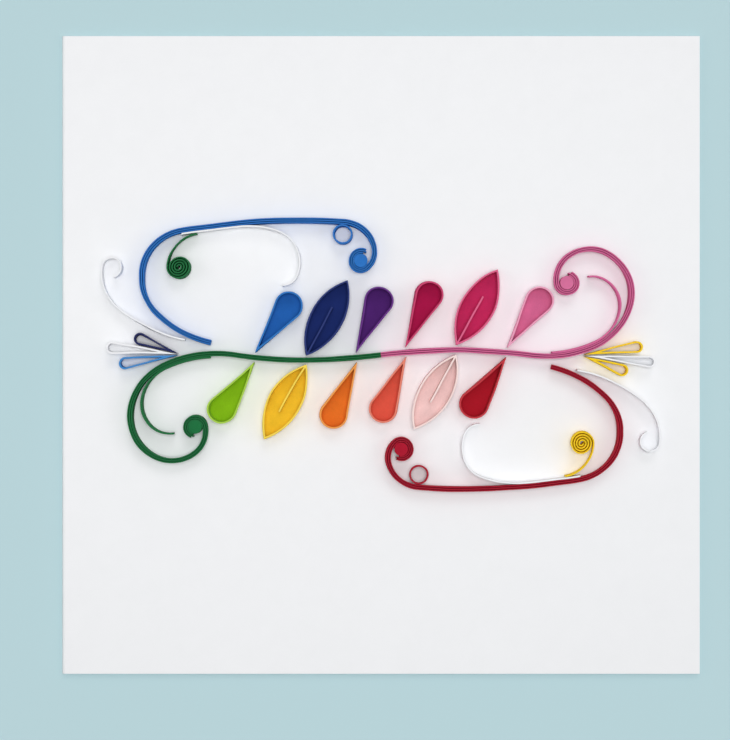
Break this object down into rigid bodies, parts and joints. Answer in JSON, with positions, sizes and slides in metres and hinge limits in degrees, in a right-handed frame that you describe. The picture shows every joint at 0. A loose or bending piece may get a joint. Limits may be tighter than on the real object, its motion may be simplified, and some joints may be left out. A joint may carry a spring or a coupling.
{
  "type": "quilled paper card",
  "caption": "Square folded card whose front carries quilled paper strips on edge: leaves and petals along a curved stem, with scrolls, coils and slim loops at both ends.",
  "frame": {"origin": "centre of the card's back, on the surface it lies on", "axes": "+X to the card's right, +Y to its top edge, +Z out of its front"},
  "size_m": [0.1524, 0.1524, 0.006],
  "materials": {
    "azure_light_paper": "matte dyed paper",
    "azure_paper": "matte dyed paper",
    "blue_strip_paper": "matte dyed paper",
    "blush_light_paper": "matte dyed paper",
    "blush_paper": "matte dyed paper",
    "card_board": "smooth matte card",
    "coral_light_paper": "matte dyed paper",
    "coral_paper": "matte dyed paper",
    "crimson_light_paper": "matte dyed paper",
    "crimson_paper": "matte dyed paper",
    "gold_strip_paper": "matte dyed paper",
    "green_strip_paper": "matte dyed paper",
    "ink_strip_paper": "matte dyed paper",
    "lime_light_paper": "matte dyed paper",
    "lime_paper": "matte dyed paper",
    "magenta_light_paper": "matte dyed paper",
    "magenta_paper": "matte dyed paper",
    "navy_light_paper": "matte dyed paper",
    "navy_paper": "matte dyed paper",
    "orange_light_paper": "matte dyed paper",
    "orange_paper": "matte dyed paper",
    "pink_strip_paper": "matte dyed paper",
    "red_strip_paper": "matte dyed paper",
    "rose_light_paper": "matte dyed paper",
    "rose_paper": "matte dyed paper",
    "scarlet_light_paper": "matte dyed paper",
    "scarlet_paper": "matte dyed paper",
    "sky_strip_paper": "matte dyed paper",
    "violet_light_paper": "matte dyed paper",
    "violet_paper": "matte dyed paper",
    "white_strip_paper": "matte dyed paper",
    "yellow_light_paper": "matte dyed paper",
    "yellow_paper": "matte dyed paper"
  },
  "bodies": {
    "root": {"azure_disc": "blue_strip_paper", "azure_middle_loop": "sky_strip_paper", "azure_petal_panel": "azure_paper", "azure_petal_rim": "azure_light_paper", "blue_ring": "blue_strip_paper", "blue_swash": "blue_strip_paper", "blush_leaf_panel": "blush_paper", "blush_leaf_rim": "blush_light_paper", "coral_petal_panel": "coral_paper", "coral_petal_rim": "coral_light_paper", "crimson_disc": "red_strip_paper", "crimson_petal_panel": "crimson_paper", "crimson_petal_rim": "crimson_light_paper", "folded_card": "card_board", "gold_coil": "gold_strip_paper", "gold_middle_loop": "gold_strip_paper", "gold_short_loop": "gold_strip_paper", "green_coil": "green_strip_paper", "green_disc": "green_strip_paper", "green_inner_scroll": "green_strip_paper", "green_stem_scroll": "green_strip_paper", "lime_petal_panel": "lime_paper", "lime_petal_rim": "lime_light_paper", "magenta_leaf_panel": "magenta_paper", "magenta_leaf_rim": "magenta_light_paper", "navy_leaf_panel": "navy_paper", "navy_leaf_rim": "navy_light_paper", "navy_short_loop": "ink_strip_paper", "orange_petal_panel": "orange_paper", "orange_petal_rim": "orange_light_paper", "pink_inner_scroll": "pink_strip_paper", "pink_stem_scroll": "pink_strip_paper", "red_ring": "red_strip_paper", "red_swash": "red_strip_paper", "rose_disc": "rose_paper", "rose_petal_panel": "rose_paper", "rose_petal_rim": "rose_light_paper", "scarlet_petal_panel": "scarlet_paper", "scarlet_petal_rim": "scarlet_light_paper", "violet_petal_panel": "violet_paper", "violet_petal_rim": "violet_light_paper", "white_left_loop": "white_strip_paper", "white_left_scroll": "white_strip_paper", "white_lower_strand": "white_strip_paper", "white_right_loop": "white_strip_paper", "white_right_scroll": "white_strip_paper", "white_upper_strand": "white_strip_paper", "yellow_leaf_panel": "yellow_paper", "yellow_leaf_rim": "yellow_light_paper"}
  },
  "joints": []
}
